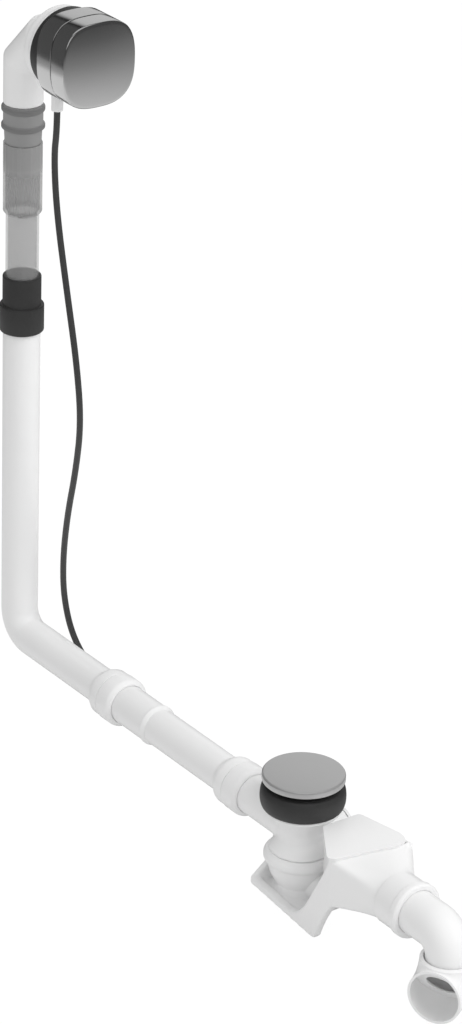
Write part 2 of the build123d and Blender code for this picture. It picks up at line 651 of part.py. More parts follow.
with BuildPart() as trap_body:
    # front wall with its deep notch round the bowl
    with BuildSketch(front_plane):
        with BuildLine():
            Line(foot_left, foot_right)
            ThreePointArc(foot_right, arch_mid, (ridge_x, arch_top))
            Polyline((ridge_x, arch_top), (ridge_x, ridge_z), notch[0])
            Spline(*notch)
            Polyline(notch[-1], (base_left, arm_top), foot_left)
        make_face()
    extrude(amount=-rim_thick)
    # tray under the bowl and its raised end
    with BuildSketch(rim_plane):
        with BuildLine():
            Polyline(foot_left, (36, base_z + 2.2), (40, base_z + 13.5), (30, base_z + 8.5), (20, base_z + 6.5),
                     (base_left, arm_top - 3), close=True)
        make_face()
    extrude(amount=front_y + rim_thick - tray_y)
    with BuildSketch(Plane((base_left, 0, 0), x_dir=(0, 1, 0), z_dir=(1, 0, 0))):
        with BuildLine():
            Polyline((front_y, foot_left[1]), (front_y, arm_top), (-12, end_top), (tray_y - 6, end_top), (tray_y, end_top - 6),
                     (tray_y, foot_left[1]), close=True)
        make_face()
    extrude(amount=5)
    # the round way from the bowl to the weir
    with BuildSketch(Plane((0, link_y, link_z), x_dir=(0, 1, 0), z_dir=(1, 0, 0))):
        Circle(link_r)
    extrude(amount=60)
    # weir chamber above it, open at the top for its lid
    with BuildSketch(Plane((0, 0, ridge_z))):
        with BuildLine():
            Polyline(chamber, close=True)
        make_face()
    extrude(amount=base_z + 6 - ridge_z)
    # the arch that rises behind the front wall
    with BuildSketch(Plane((0, front_y + rim_thick, 0), x_dir=(1, 0, 0), z_dir=(0, -1, 0))):
        with BuildLine():
            ThreePointArc((22, base_z + 4), (56, -87), (ridge_x, arch_top))
            Polyline((ridge_x, arch_top), (ridge_far + 5, arch_top), (ridge_far + 5, base_z - 5), (22, base_z - 5),
                     (22, base_z + 4))
        make_face()
    extrude(amount=front_y + rim_thick - back_y - 5, mode=Mode.SUBTRACT)
    with BuildSketch(front_plane):
        with BuildLine():
            ThreePointArc(foot_right, arch_mid, (ridge_x, arch_top))
            Polyline((ridge_x, arch_top), (ridge_far + 5, arch_top), (ridge_far + 5, base_z), foot_right)
        make_face()
    extrude(amount=-rim_thick, mode=Mode.SUBTRACT)
    with BuildSketch(front_plane):
        with BuildLine():
            Spline(*notch)
            Polyline(notch[-1], (notch[-1][0], ridge_z), notch[0])
        make_face()
    extrude(amount=-rim_thick, mode=Mode.SUBTRACT)
    # the bowl under the waste
    with BuildSketch(Plane((0, 0, base_z + 3))):
        Circle(bowl_r)
    extrude(amount=bowl_top - base_z - 3)
    # the throat from the weir to the round outlet
    with BuildSketch(throat_plane):
        with BuildLine():
            Line((throat_r, low), (ridge_long - lobe_r, low))
            RadiusArc((ridge_long - lobe_r, low), (ridge_long, low + lobe_r), -lobe_r)
            Line((ridge_long, low + lobe_r), (ridge_long, high - lobe_r))
            RadiusArc((ridge_long, high - lobe_r), (ridge_long - lobe_r, high), -lobe_r)
            Line((ridge_long - lobe_r, high), (throat_r, high))
            RadiusArc((throat_r, high), (0, high - throat_r), -throat_r)
            Line((0, high - throat_r), (0, low + throat_r))
            RadiusArc((0, low + throat_r), (throat_r, low), -throat_r)
        make_face()
    with BuildSketch(Plane((throat_x, 0, outlet_z), x_dir=(0, 1, 0), z_dir=(1, 0, 0))):
        with BuildLine():
            for first, last in zip(throat_turns[:-1], throat_turns[1:]):
                CenterArc((0, 0), outlet_r, first, last - first)
        make_face()
    loft()
    with BuildSketch(Plane((throat_x, 0, outlet_z), x_dir=(0, 1, 0), z_dir=(1, 0, 0))):
        Circle(outlet_r)
    extrude(amount=outlet_end - throat_x)
    # water way: bowl, foot, weir chamber and outlet
    with BuildSketch(Plane((0, 0, base_z + 9 + wall))):
        Circle(bowl_bore_r)
    extrude(amount=bowl_top - base_z, mode=Mode.SUBTRACT)
    with BuildSketch(Plane((0, link_y, link_z), x_dir=(0, 1, 0), z_dir=(1, 0, 0))):
        Circle(link_r - wall)
    extrude(amount=54, mode=Mode.SUBTRACT)
    with BuildSketch(Plane((0, 0, link_z))):
        with Locations((47, link_y)):
            Rectangle(14, 2 * link_r - 2 * wall)
    extrude(amount=arch_top + 6 - link_z, mode=Mode.SUBTRACT)
    with BuildSketch(Plane((0, 0, ridge_z))):
        with BuildLine():
            Polyline(chamber, close=True)
        make_face()
        offset(amount=-wall)
    extrude(amount=arch_top + wall - ridge_z, mode=Mode.SUBTRACT)
    with BuildSketch(Plane((ridge_x - 4, 0, outlet_z), x_dir=(0, 1, 0), z_dir=(1, 0, 0))):
        Circle(drain_r - drain_wall)
    extrude(amount=throat_x - ridge_x + 4, mode=Mode.SUBTRACT)
    with BuildSketch(Plane((throat_x, 0, outlet_z), x_dir=(0, 1, 0), z_dir=(1, 0, 0))):
        Circle(drain_r)
    extrude(amount=outlet_end - throat_x, mode=Mode.SUBTRACT)

with BuildPart() as trap_lid:
    with BuildSketch(Plane((0, 0, ridge_z))):
        with BuildLine():
            Polyline(chamber, close=True)
        make_face()
        offset(amount=-lid_inset)
    extrude(amount=lid_thick)
    chamfer(trap_lid.faces().sort_by(Axis.Z)[-1].edges(), 0.8)

# Drain

nut_end = drain_nut_x + drain_nut_long
with BuildPart() as drain_nut:
    with BuildSketch(out_plane):
        with BuildLine():
            Polyline((drain_nut_x, outlet_r), (drain_nut_x, drain_nut_r - 2.0), (drain_nut_x + 0.8, drain_nut_r - 1.2),
                     (nut_end - drain_nut_rim, drain_nut_r - 1.2), (nut_end - drain_nut_rim + 1.2, drain_nut_r),
                     (nut_end - 1.5, drain_nut_r), (nut_end, drain_nut_r - 1.5), (nut_end, drain_r + 0.2),
                     (nut_end - nut_lip, drain_r + 0.2), (nut_end - nut_lip, outlet_r), close=True)
        make_face()
    revolve(axis=out_axis)

with BuildPart() as drain_ring:
    with BuildSketch(out_plane):
        with BuildLine():
            Polyline((outlet_end, drain_r), (outlet_end, outlet_r - 0.4), (nut_end - nut_lip, outlet_r),
                     (nut_end - nut_lip, drain_r), close=True)
        make_face()
    revolve(axis=out_axis)

bend_end = outlet_z - bend_1 - spigot_long
with BuildPart() as drain_elbow:
    with BuildLine() as elbow_path:
        FilletPolyline((outlet_end - drain_in, 0, outlet_z), (drop_x, 0, outlet_z), (drop_x, 0, bend_end), radius=bend_1)
    with BuildSketch(Plane((outlet_end - drain_in, 0, outlet_z), x_dir=(0, 1, 0), z_dir=(1, 0, 0))):
        Circle(drain_r)
        Circle(drain_r - drain_wall, mode=Mode.SUBTRACT)
    sweep(path=elbow_path.line)

heading = (math.cos(math.radians(mouth_turn)), math.sin(math.radians(mouth_turn)), 0)
swivel_r = drain_r + turn_gap
swivel_top = outlet_z - bend_1
mouth_z = swivel_top - swivel_long - bend_2
mouth_reach = bend_2 + mouth_long
with BuildPart() as drain_mouth:
    with BuildLine() as mouth_path:
        FilletPolyline((drop_x, 0, swivel_top), (drop_x, 0, mouth_z),
                       (drop_x + mouth_reach * heading[0], mouth_reach * heading[1], mouth_z), radius=bend_2)
    with BuildSketch(Plane((drop_x, 0, swivel_top))):
        Circle(mouth_r)
        Circle(mouth_bore_r, mode=Mode.SUBTRACT)
    sweep(path=mouth_path.line)
    with BuildSketch(Plane((drop_x, 0, swivel_top))):
        Circle(mouth_bore_r)
        Circle(swivel_r, mode=Mode.SUBTRACT)
    extrude(amount=-swivel_long)
    # the socket's top narrows towards the bend
    with BuildSketch(Plane((drop_x, 0, 0), x_dir=(1, 0, 0), z_dir=(0, -1, 0))):
        with BuildLine():
            Polyline((swivel_r + 1.4, swivel_top), (mouth_r + 3, swivel_top),
                     (mouth_r + 3, swivel_top - mouth_r - 1.6 + swivel_r), close=True)
        make_face()
    revolve(axis=Axis((drop_x, 0, 0), (0, 0, 1)), mode=Mode.SUBTRACT)

# Control cable in its sheath, from the overflow cup to the plug drive
cable_points = [(nub_x, 0, nub_end + cable_in), (nub_x, 0, nub_end - 16), (-367, 0, 418), (-362, 0, 370),
                (-346, 0, 306), (-330, 0, 246), (-325, 2, 192), (-338, 6, 140), (-358, 12, 90), (-373, 18, 40),
                (-377, 22, -2), (-366, 25, -38), (-336, 27, -59), (-290, 28, -64), (-230, 28, -62), (-170, 28, -64),
                (-120, 28, -60), (-86, 27, -47), (-55, drive_y, gland_z),
                (gland_x + cable_in, drive_y, gland_z)]


def turn_radius(before, here, after):
    """The largest arc that leaves a tenth of the shorter run straight."""
    a = [p - q for p, q in zip(before, here)]
    b = [p - q for p, q in zip(after, here)]
    la = math.sqrt(sum(v * v for v in a))
    lb = math.sqrt(sum(v * v for v in b))
    cosine = sum(p * q for p, q in zip(a, b)) / (la * lb)
    turn = math.pi - math.acos(max(-1.0, min(1.0, cosine)))
    return 0.45 * min(la, lb) / math.tan(turn / 2)


cable_radii = [turn_radius(*cable_points[i - 1:i + 2]) for i in range(1, len(cable_points) - 1)]
first_run = [q - p for p, q in zip(cable_points[0], cable_points[1])]
with BuildPart() as control_cable:
    with BuildLine() as cable_line:
        FilletPolyline(*cable_points, radius=cable_radii)
    with BuildSketch(Plane(cable_points[0], z_dir=first_run)):
        Circle(cable_d / 2)
    sweep(path=cable_line.line)
cable_long = sum(edge.length for edge in cable_line.line.edges())
cable_full = math.pi * (cable_d / 2) ** 2 * cable_long
print("cable length", round(cable_long, 1), "radii", [round(r) for r in cable_radii])
print("cable volume over section times length", round(control_cable.part.volume / cable_full, 4))

pieces = {
    "overflow_elbow": overflow_elbow, "overflow_gasket": overflow_gasket, "spindle_carrier": spindle_carrier,
    "overflow_rosette": overflow_rosette, "turn_knob": turn_knob, "knob_spindle": knob_spindle, "cable_drum": cable_drum,
    "elbow_seal": elbow_seal, "telescopic_tube": telescopic_tube, "pipe_coupling": pipe_coupling,
    "overflow_pipe": overflow_pipe, "pipe_nut": pipe_nut, "pipe_ring": pipe_ring, "slide_sleeve": slide_sleeve,
    "connecting_pipe": connecting_pipe, "inlet_nut": inlet_nut, "inlet_ring": inlet_ring, "waste_body": waste_body,
    "drive_cover": drive_cover, "waste_seal": waste_seal, "seat_flange": seat_flange, "plug_cap": plug_cap,
    "plug_core": plug_core, "plug_seal": plug_seal, "plug_stem": plug_stem, "stem_nut": stem_nut,
    "lift_shaft": lift_shaft, "lift_finger": lift_finger, "lift_crank": lift_crank, "trap_nut": trap_nut,
    "trap_ring": trap_ring, "trap_body": trap_body, "trap_lid": trap_lid, "drain_nut": drain_nut, "drain_ring": drain_ring,
    "drain_elbow": drain_elbow, "drain_mouth": drain_mouth, "control_cable": control_cable,
}
for name, piece in pieces.items():
    piece.part.label = name
    export_step(piece.part, f"parts/{name}.step")
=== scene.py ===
"""Looks of a bath waste and overflow: soft moulded edges, finishes, the control cable, light and camera."""

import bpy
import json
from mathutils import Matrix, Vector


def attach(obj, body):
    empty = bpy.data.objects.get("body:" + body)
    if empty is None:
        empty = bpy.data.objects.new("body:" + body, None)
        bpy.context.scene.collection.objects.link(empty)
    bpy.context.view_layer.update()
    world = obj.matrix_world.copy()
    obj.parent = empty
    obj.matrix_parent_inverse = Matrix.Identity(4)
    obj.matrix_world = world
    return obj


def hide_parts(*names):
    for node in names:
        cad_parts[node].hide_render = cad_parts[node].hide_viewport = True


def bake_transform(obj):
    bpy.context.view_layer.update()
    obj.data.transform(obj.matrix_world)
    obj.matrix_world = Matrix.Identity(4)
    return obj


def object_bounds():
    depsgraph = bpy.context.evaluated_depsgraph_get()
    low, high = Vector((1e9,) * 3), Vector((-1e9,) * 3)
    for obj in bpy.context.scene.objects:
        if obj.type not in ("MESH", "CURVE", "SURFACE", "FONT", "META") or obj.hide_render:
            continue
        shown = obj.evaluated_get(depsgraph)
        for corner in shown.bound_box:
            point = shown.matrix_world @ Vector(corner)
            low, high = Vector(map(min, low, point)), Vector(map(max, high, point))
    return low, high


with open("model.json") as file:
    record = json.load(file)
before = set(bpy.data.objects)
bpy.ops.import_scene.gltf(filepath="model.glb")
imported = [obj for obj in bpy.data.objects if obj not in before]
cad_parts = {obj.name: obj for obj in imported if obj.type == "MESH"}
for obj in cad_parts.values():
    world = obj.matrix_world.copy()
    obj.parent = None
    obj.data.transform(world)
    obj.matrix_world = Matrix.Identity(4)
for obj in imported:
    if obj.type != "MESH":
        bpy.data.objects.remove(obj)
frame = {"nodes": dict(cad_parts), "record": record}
cad_box = [list(corner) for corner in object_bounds()]

import json
import math

import bmesh
import bpy
from mathutils import Matrix, Vector

bl_info = {
    "name": "Bath waste and overflow",
    "version": (1, 0, 0),
    "blender": (4, 5, 0),
    "location": "View3D > Sidebar > Waste",
    "description": "Builds the visible pieces, finishes and stage of a bath waste and overflow",
    "category": "Object",
}

MM = 0.001

# Directions
ALONG = (1, 0, 0)
SIDE = (0, 1, 0)
UP = (0, 0, 1)

# Where the axes of the pieces lie, in millimetres
OVERFLOW_Z = 517.5           # height of the overflow's axis
STAND_X = -413.0             # place of the standpipe
RUN_Z = -41.0                # height of the horizontal run
OUTLET_Z = -43.0             # height of the trap's outlet
DROP_X = 192.0               # place of the drain's upright part
HEAD = (0, 0, OVERFLOW_Z)
STAND = (STAND_X, 0, 0)
RUN = (0, 0, RUN_Z)
WASTE = (0, 0, 0)
OUTLET = (0, 0, OUTLET_Z)

# Radii that pieces share, in millimetres
PIPE_R = 16.0                # pipes of the standpipe and the run
THREAD_R = 18.4              # threaded ends of the pipes
FLARE_R = 21.2               # flares behind the threads
SOCKET_R = 14.5              # bore of the telescopic tube's socket

# The overflow head's places along X, in millimetres
WALL_X = -342.0              # face of the bath's end wall
ROSETTE_X = -322.5           # front of the rosette
KNOB_REAR_X = -321.7
KNOB_FRONT_X = -303.0

# The drain's bends, in millimetres, and the direction of its mouth, turned from +X
DRAIN_R = 18.6
DRAIN_BEND = 19.1
MOUTH_R = 22.9
MOUTH_BEND = 23.8
MOUTH_TOP_Z = -61.8
MOUTH_TURN = math.radians(-64)

# Half sizes of the overflow knob's outline, in millimetres, and how square it is: 2 is an ellipse
KNOB_WIDE = 35.0
KNOB_TALL = 36.0
KNOB_SQUARE = 2.9

# Heights between which the grey seal's painted bead shade, and the tube's socket's opacity and painted
# shade, change, in metres
SEAL_BEAD_SHADE_SPAN = (0.416, 0.451)
SOCKET_SPAN = (0.35, 0.42)

# Angles, in degrees, and distance, in metres, by which edges and points are told apart
SMOOTH_ANGLE = 32            # flatter edges than this are shaded smooth
ROUND_ANGLE = 40             # the same on the knob and the cable
EDGE_ANGLE = 28              # sharper edges than this are rounded
MOUTH_ANGLE = 50             # the same on the mouths of pipes
SAME_POINT = 2e-6

# The photograph's camera: its frame and focal length in pixels, its angles in degrees, its place in metres
PHOTO_TALL = 1024
FOCAL = 4200
AZIMUTH, ELEVATION, ROLL = 53.11, 26.213, -1.835
TARGET = (-0.10869, 0, 0.19873)
DISTANCE = 3.3692

# Lamps as (name, direction, watts, size in metres), and how far they stand from their target, in metres
LAMPS = (("key", (0.66, 0.36, 0.66), 29, 1.6),
         ("fill", (0.62, -0.5, 0.6), 5, 1.8))
LAMP_REACH = 2.6
LIT_PLACE = (-0.1, 0, 0.15)

# The cable's route from the overflow cup to the plug drive, in millimetres
CABLE_ROUTE = [
    (-363, 0, 465), (-363, 0, 443), (-367, 0, 418), (-362, 0, 370), (-346, 0, 306), (-330, 0, 246),
    (-325, 2, 192), (-338, 6, 140), (-358, 12, 90), (-373, 18, 40), (-377, 22, -2), (-366, 25, -38),
    (-336, 27, -59), (-290, 28, -64), (-230, 28, -62), (-170, 28, -64), (-120, 28, -60), (-86, 27, -47),
    (-55, 27, -36), (-24, 27, -36),
]


# Shader maths

class Wire:
    """An output socket: expressions on it add Math nodes to its finish."""

    def __init__(self, finish, socket):
        self.finish = finish
        self.socket = socket

    def maths(self, operation, first, second):
        return self.finish.node("ShaderNodeMath", {"operation": operation}, {0: first, 1: second})

    def __add__(self, other):
        return self.maths("ADD", self, other)

    def __radd__(self, other):
        return self.maths("ADD", other, self)

    def __sub__(self, other):
        return self.maths("SUBTRACT", self, other)

    def __rsub__(self, other):
        return self.maths("SUBTRACT", other, self)

    def __mul__(self, other):
        return self.maths("MULTIPLY", self, other)

    def __rmul__(self, other):
        return self.maths("MULTIPLY", other, self)


class Finish:
    """A material or world whose nodes are added one call at a time."""

    def __init__(self, owner):
        owner.use_nodes = True
        self.owner = owner
        self.tree = owner.node_tree
        self.tree.nodes.clear()

    def node(self, kind, settings=None, inputs=None, output=0):
        """Adds a node, sets it up, fills its sockets and returns one of its outputs."""
        made = self.tree.nodes.new(kind)
        settings = dict(settings or {})
        stops = settings.pop("stops", None)
        for key, value in settings.items():
            setattr(made, key, value)
        if stops:
            self.set_stops(made.color_ramp, stops)
        for key, value in (inputs or {}).items():
            if isinstance(value, Wire):
                self.tree.links.new(value.socket, made.inputs[key])
            else:
                made.inputs[key].default_value = value
        return Wire(self, made.outputs[output])

    @staticmethod
    def set_stops(ramp, stops):
        while len(ramp.elements) < len(stops):
            ramp.elements.new(1.0)
        for element, (place, shade) in zip(ramp.elements, stops):
            element.position = place
            element.color = (shade, shade, shade, 1.0)

    def place(self):
        """The shaded point, in the piece's own axes."""
        return self.node("ShaderNodeTexCoord", output="Object")

    def height(self):
        """The shaded point's height, in metres."""
        return self.node("ShaderNodeSeparateXYZ", None, {0: self.place()}, output="Z")

    def ramp(self, value, stops):
        """A grey that follows a value from 0 to 1 through stops of (value, grey)."""
        return self.node("ShaderNodeValToRGB", {"stops": stops}, {0: value})

    def span(self, value, first, last):
        """A value as its share of the way from first to last."""
        return (value - first) * (1 / (last - first))

    def noise(self, scale, detail=2.0):
        """Soft clouds: scale is how many there are in a metre."""
        return self.node("ShaderNodeTexNoise", None,
                         {"Vector": self.place(), "Scale": scale, "Detail": detail}, output=0)

    def blend(self, factor, first, second):
        """A colour between two colours."""
        return self.node("ShaderNodeMix", {"data_type": "RGBA"},
                         {0: factor, 6: first, 7: second}, output=2)

    def lightest(self, first, second):
        """The lighter of two colours."""
        return self.node("ShaderNodeMix", {"data_type": "RGBA", "blend_type": "LIGHTEN"},
                         {0: 1.0, 6: first, 7: second}, output=2)

    def grain(self, scale, strength, depth):
        """Fine surface relief, for a shader's Normal."""
        return self.node("ShaderNodeBump", None,
                         {"Height": self.noise(scale), "Strength": strength, "Distance": depth})

    def close(self, shader, kind="ShaderNodeOutputMaterial"):
        """Joins the last shader to the output."""
        made = self.tree.nodes.new(kind)
        self.tree.links.new(shader.socket, made.inputs["Surface"])
        return self.owner


def new_finish(name):
    return Finish(bpy.data.materials.new("waste " + name))


def tint(colour, factor):
    """The same colour, lighter or darker."""
    return tuple(min(1.0, c * factor) for c in colour[:3]) + (1.0,)


def plastic_finish(name, colour, rough):
    """Moulded plastic: slightly uneven gloss and a very fine grain."""
    f = new_finish(name)
    cloud = f.noise(28.0, 3.0)
    return f.close(f.node("ShaderNodeBsdfPrincipled", None, {
        "Base Color": f.blend(cloud, tint(colour, 0.985), tint(colour, 1.015)),
        "Roughness": cloud * 0.12 + (rough - 0.06),
        "IOR": 1.49,
        "Normal": f.grain(1400.0, 0.06, 0.0002),
    }))


def rubber_finish(name, colour):
    """Rubber: matt, with a dusty unevenness."""
    f = new_finish(name)
    cloud = f.noise(60.0, 4.0)
    return f.close(f.node("ShaderNodeBsdfPrincipled", None, {
        "Base Color": f.blend(cloud, tint(colour, 0.85), tint(colour, 1.2)),
        "Roughness": cloud * 0.2 + 0.42,
        "Normal": f.grain(900.0, 0.15, 0.0003),
    }))


def seal_finish(name, colour):
    """Grey lip seal: matt rubber with painted shade darkening its beads."""
    f = new_finish(name)
    cloud = f.noise(60.0, 4.0)
    # Painted shade: a ramp on height darkens the two beads, standing in for the shade on their downward
    # faces
    bead_shade = f.ramp(f.span(f.height(), *SEAL_BEAD_SHADE_SPAN), [
        (0.0, 1.0), (0.33, 1.0), (0.38, 0.0), (0.47, 0.0), (0.52, 1.0),
        (0.78, 1.0), (0.83, 0.0), (0.92, 0.0), (0.97, 0.7)])
    body = f.blend(bead_shade, tint(colour, 0.62), tint(colour, 1.0))
    return f.close(f.node("ShaderNodeBsdfPrincipled", None, {
        "Base Color": f.blend(cloud * 0.15, body, tint(colour, 0.8)),
        "Roughness": cloud * 0.2 + 0.42,
        "Normal": f.grain(900.0, 0.1, 0.0003),
    }))


def clear_finish(name, colour, body):
    """Natural translucent plastic with drawn streaks, denser in its socket and round the socket's end,
    where painted shade also darkens it.
    """
    f = new_finish(name)
    drawn = f.node("ShaderNodeMapping", None, {"Vector": f.place(), "Scale": (260.0, 260.0, 3.0)})
    streak = f.node("ShaderNodeTexNoise", None, {"Vector": drawn, "Scale": 1.0, "Detail": 2.0})
    up = f.span(f.height(), *SOCKET_SPAN)
    dense = f.ramp(up, [
        (0.0, 0.0), (0.03, 0.0), (0.05, 0.25), (0.09, 0.25), (0.13, 0.16), (0.55, 0.16), (0.63, 0.5)])
    # Painted shade: the socket is darkened for the shaded inside seen through its wall, and a ring round
    # its end for the shade at its shoulder
    socket_shade = f.ramp(up, [
        (0.0, 0.0), (0.03, 0.0), (0.05, 0.9), (0.09, 0.9), (0.13, 0.25), (0.55, 0.25), (0.63, 0.15)])
    return f.close(f.node("ShaderNodeBsdfPrincipled", None, {
        "Base Color": f.blend(socket_shade, tint(colour, 1.0), tint(colour, 0.5)),
        "Roughness": streak * 0.1 + 0.22,
        "Alpha": dense + streak * 0.015 + (body - 0.0075),
        "Normal": f.grain(1100.0, 0.05, 0.0002),
    }))


def metal_finish(name, colour, rough, spread, mirror=1.0):
    """Metal with a faint change of gloss: mirror is the share of it that reflects as bare metal."""
    f = new_finish(name)
    cloud = f.noise(45.0, 3.0)
    return f.close(f.node("ShaderNodeBsdfPrincipled", None, {
        "Base Color": f.blend(cloud, tint(colour, 0.98), tint(colour, 1.02)),
        "Metallic": mirror,
        "Roughness": cloud * spread + (rough - spread / 2),
        "Normal": f.grain(700.0, 0.02, 0.0001),
    }))


# Modelling helpers

def deselect():
    bpy.ops.object.select_all(action="DESELECT")


def only(piece):
    deselect()
    piece.select_set(True)
    bpy.context.view_layer.objects.active = piece


def open_mesh(piece):
    """Edit mode with everything selected."""
    only(piece)
    bpy.ops.object.mode_set(mode="EDIT")
    bpy.ops.mesh.select_mode(type="VERT")
    bpy.ops.mesh.select_all(action="SELECT")


def close_mesh(piece, smooth=SMOOTH_ANGLE):
    """Back to object mode, with the piece's place in its mesh and its flat faces kept flat."""
    bpy.ops.object.mode_set(mode="OBJECT")
    only(piece)
    bpy.ops.object.transform_apply(location=True, rotation=True, scale=True)
    bpy.ops.object.shade_smooth_by_angle(angle=math.radians(smooth))
    return piece


def pick(piece, wanted):
    """Selects the vertices of the mesh in edit mode whose place fits."""
    bpy.ops.mesh.select_all(action="DESELECT")
    mesh = bmesh.from_edit_mesh(piece.data)
    for vertex in mesh.verts:
        vertex.select_set(wanted(piece.matrix_world @ vertex.co))
    mesh.select_flush_mode()
    bmesh.update_edit_mesh(piece.data)


def pick_edges(piece, wanted):
    """Selects the edges of the mesh in edit mode whose ends fit."""
    bpy.ops.mesh.select_mode(type="EDGE")
    bpy.ops.mesh.select_all(action="DESELECT")
    mesh = bmesh.from_edit_mesh(piece.data)
    for edge in mesh.edges:
        edge.select_set(wanted(*(vertex.co for vertex in edge.verts)))
    bmesh.update_edit_mesh(piece.data)


def apply_modifiers(piece):
    only(piece)
    for modifier in list(piece.modifiers):
        bpy.ops.object.modifier_apply(modifier=modifier.name)


def started(name):
    """Names the object that an operator has just added."""
    piece = bpy.context.object
    piece.name = piece.data.name = name
    return piece


def traced(name, spots, roundings, segments):
    """A closed line through points, its corners rounded, all selected in edit mode."""
    deselect()
    bpy.ops.mesh.primitive_plane_add(size=MM, location=spots[0])
    piece = started(name)
    open_mesh(piece)
    bpy.ops.mesh.merge(type="CENTER")
    for before, after in zip(spots, spots[1:]):
        bpy.ops.mesh.extrude_vertices_move(TRANSFORM_OT_translate={"value": after - before})
    pick(piece, lambda place: min((place - spots[0]).length, (place - spots[-1]).length) < 1e-7)
    bpy.ops.mesh.edge_face_add()
    for rounding in sorted(set(roundings) - {0}):
        corners = [spot for spot, own in zip(spots, roundings) if own == rounding]
        pick(piece, lambda place: any((place - spot).length < 1e-7 for spot in corners))
        bpy.ops.mesh.bevel(affect="VERTICES", offset=rounding * MM, segments=segments)
    bpy.ops.mesh.select_all(action="SELECT")
    return piece


def turned(name, outline, centre, axis, steps=80):
    """Spins a closed outline of (along, radius, rounding) points, in millimetres, about an axis."""
    centre, axis = Vector(centre) * MM, Vector(axis)
    across = axis.orthogonal().normalized()
    spots = [centre + (axis * along + across * radius) * MM for along, radius, _ in outline]
    piece = traced(name, spots, [point[2] for point in outline], 4)
    bpy.ops.mesh.spin(steps=steps, angle=2 * math.pi, center=centre, axis=axis)
    bpy.ops.mesh.select_all(action="SELECT")
    bpy.ops.mesh.remove_doubles(threshold=SAME_POINT)
    bpy.ops.mesh.normals_make_consistent(inside=False)
    return close_mesh(piece)


def plate(name, outline, top, thick, taper, edge):
    """A plate from an outline of (x, y, rounding) points, in millimetres, drawn in downwards."""
    spots = [Vector((x, y, top)) * MM for x, y, _ in outline]
    piece = traced(name, spots, [point[2] for point in outline], 8)
    bpy.ops.mesh.edge_face_add()
    draw_out((0, 0, -thick))
    middle = sum(spots, Vector()) / len(spots) / MM
    widen(taper, (middle.x, middle.y, top - thick))
    bpy.ops.mesh.select_all(action="SELECT")
    bpy.ops.mesh.normals_make_consistent(inside=False)
    close_mesh(piece)
    return soften(piece, edge * MM)


def outline_reach(turn, wide, tall, square):
    """Distance from the middle of a rounded square to its outline, in the direction of an angle."""
    along, up = abs(math.cos(turn)) / wide, abs(math.sin(turn)) / tall
    return (along ** square + up ** square) ** (-1 / square)


def knob_outline(inset):
    """Half sizes and squareness of the knob's outline, drawn in by an inset."""
    return KNOB_WIDE - inset, KNOB_TALL - inset, KNOB_SQUARE


def round_outline(radius):
    return radius, radius, 2.0


def rounded_edge(along, edge, side):
    """Rings of the knob's outline round an edge along X: side 1 is a front edge, -1 a rear one."""
    rings = []
    for i in range(7):
        turn = math.radians(15 * i)
        back = edge * (1 - math.sin(turn))
        rings.append((along - side * back, *knob_outline(edge * (1 - math.cos(turn)))))
    return rings if side > 0 else rings[::-1]


def squared(name, rings, point=False, sides=160):
    """A piece along the overflow's axis from rings of (place, half width, half height, squareness)."""
    piece = pipe_start(name, 1.0, (rings[0][0], 0, OVERFLOW_Z), ALONG, sides)
    shape_ring(piece, rings[0])
    for before, ring in zip(rings, rings[1:]):
        draw_out((ring[0] - before[0], 0, 0))
        shape_ring(piece, ring)
    if point:
        bpy.ops.mesh.merge(type="CENTER")
    bpy.ops.mesh.select_all(action="SELECT")
    bpy.ops.mesh.remove_doubles(threshold=SAME_POINT)
    bpy.ops.mesh.normals_make_consistent(inside=False)
    return close_mesh(piece, ROUND_ANGLE)


def shape_ring(piece, ring):
    """Moves the selected ring to its outline."""
    place, *outline = ring
    mesh = bmesh.from_edit_mesh(piece.data)
    for vertex in mesh.verts:
        if vertex.select:
            turn = math.atan2(vertex.co.z / MM - OVERFLOW_Z, vertex.co.y / MM)
            reach = outline_reach(turn, *outline)
            vertex.co = Vector((place, reach * math.cos(turn), OVERFLOW_Z + reach * math.sin(turn))) * MM
    bmesh.update_edit_mesh(piece.data)


def pipe_start(name, radius, place, axis, sides=64):
    """An open ring, selected in edit mode, from which a pipe is drawn out."""
    deselect()
    turn = Vector(axis).to_track_quat("Z", "Y").to_euler()
    bpy.ops.mesh.primitive_circle_add(vertices=sides, radius=radius * MM, location=Vector(place) * MM,
                                      rotation=turn)
    piece = started(name)
    bpy.ops.object.transform_apply(location=True, rotation=True, scale=True)
    open_mesh(piece)
    return piece


def draw_out(step):
    bpy.ops.mesh.extrude_region_move(TRANSFORM_OT_translate={"value": Vector(step) * MM})


def bend(centre, axis, angle, steps):
    """Turns the drawn-out ring about an axis by the right-hand rule, against which the operator counts."""
    bpy.ops.mesh.spin(steps=steps, angle=-math.radians(angle), center=Vector(centre) * MM, axis=axis)


def widen(factor, centre):
    bpy.ops.transform.resize(value=(factor, factor, factor), center_override=Vector(centre) * MM)


def pipe_end(piece, wall, edge):
    """Gives a drawn pipe its wall and softens its mouths."""
    bpy.ops.mesh.select_all(action="SELECT")
    bpy.ops.mesh.remove_doubles(threshold=SAME_POINT)
    bpy.ops.mesh.normals_make_consistent(inside=False)
    bpy.ops.object.mode_set(mode="OBJECT")
    shell = piece.modifiers.new("wall", "SOLIDIFY")
    shell.thickness = wall * MM
    shell.offset = -1.0
    soft = piece.modifiers.new("soft mouth", "BEVEL")
    soft.width = edge * MM
    soft.segments = 3
    soft.limit_method = "ANGLE"
    soft.angle_limit = math.radians(MOUTH_ANGLE)
    apply_modifiers(piece)
    return close_mesh(piece)


def copy_node(node, name):
    """A copy of a CAD node as a new piece, its loose triangles merged into faces."""
    piece = bpy.data.objects.new(name, frame["nodes"][node].data.copy())
    bpy.context.scene.collection.objects.link(piece)
    piece.data.materials.clear()
    open_mesh(piece)
    bpy.ops.mesh.remove_doubles(threshold=1e-6)
    bpy.ops.mesh.dissolve_limited(angle_limit=math.radians(0.5))
    bpy.ops.object.mode_set(mode="OBJECT")
    return piece


